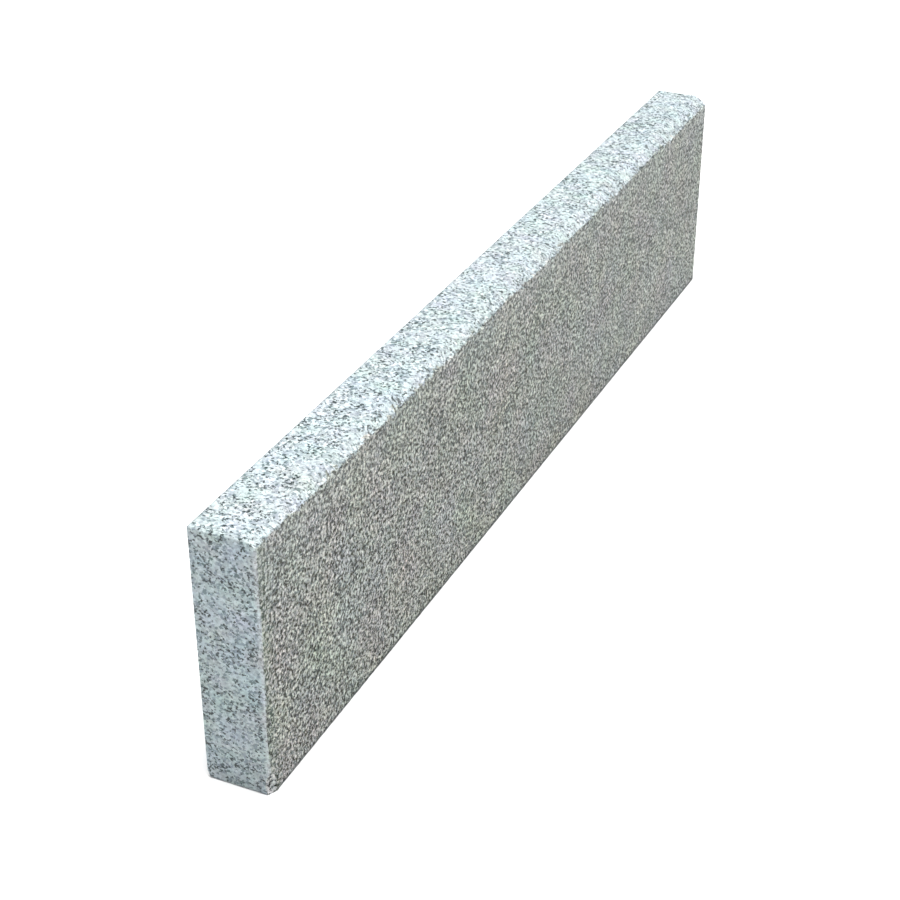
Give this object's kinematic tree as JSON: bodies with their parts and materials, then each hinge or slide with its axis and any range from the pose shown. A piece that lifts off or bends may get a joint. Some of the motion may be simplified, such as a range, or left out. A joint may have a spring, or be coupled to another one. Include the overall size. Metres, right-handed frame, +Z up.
{
  "type": "granite kerb stone",
  "caption": "Long slim granite edging kerb: a sawn upright block with bush-hammered top and road face, a hand-dressed front top edge and a flat bed to stand on.",
  "frame": {"origin": "centre of the bed, the long face that the stone stands on", "axes": "+X along the kerb, -Y towards the road face with the dressed top edge, +Z up"},
  "size_m": [0.9, 0.05, 0.2],
  "materials": {
    "granite": "matte"
  },
  "bodies": {
    "root": {"kerb_stone": "granite"}
  },
  "joints": []
}
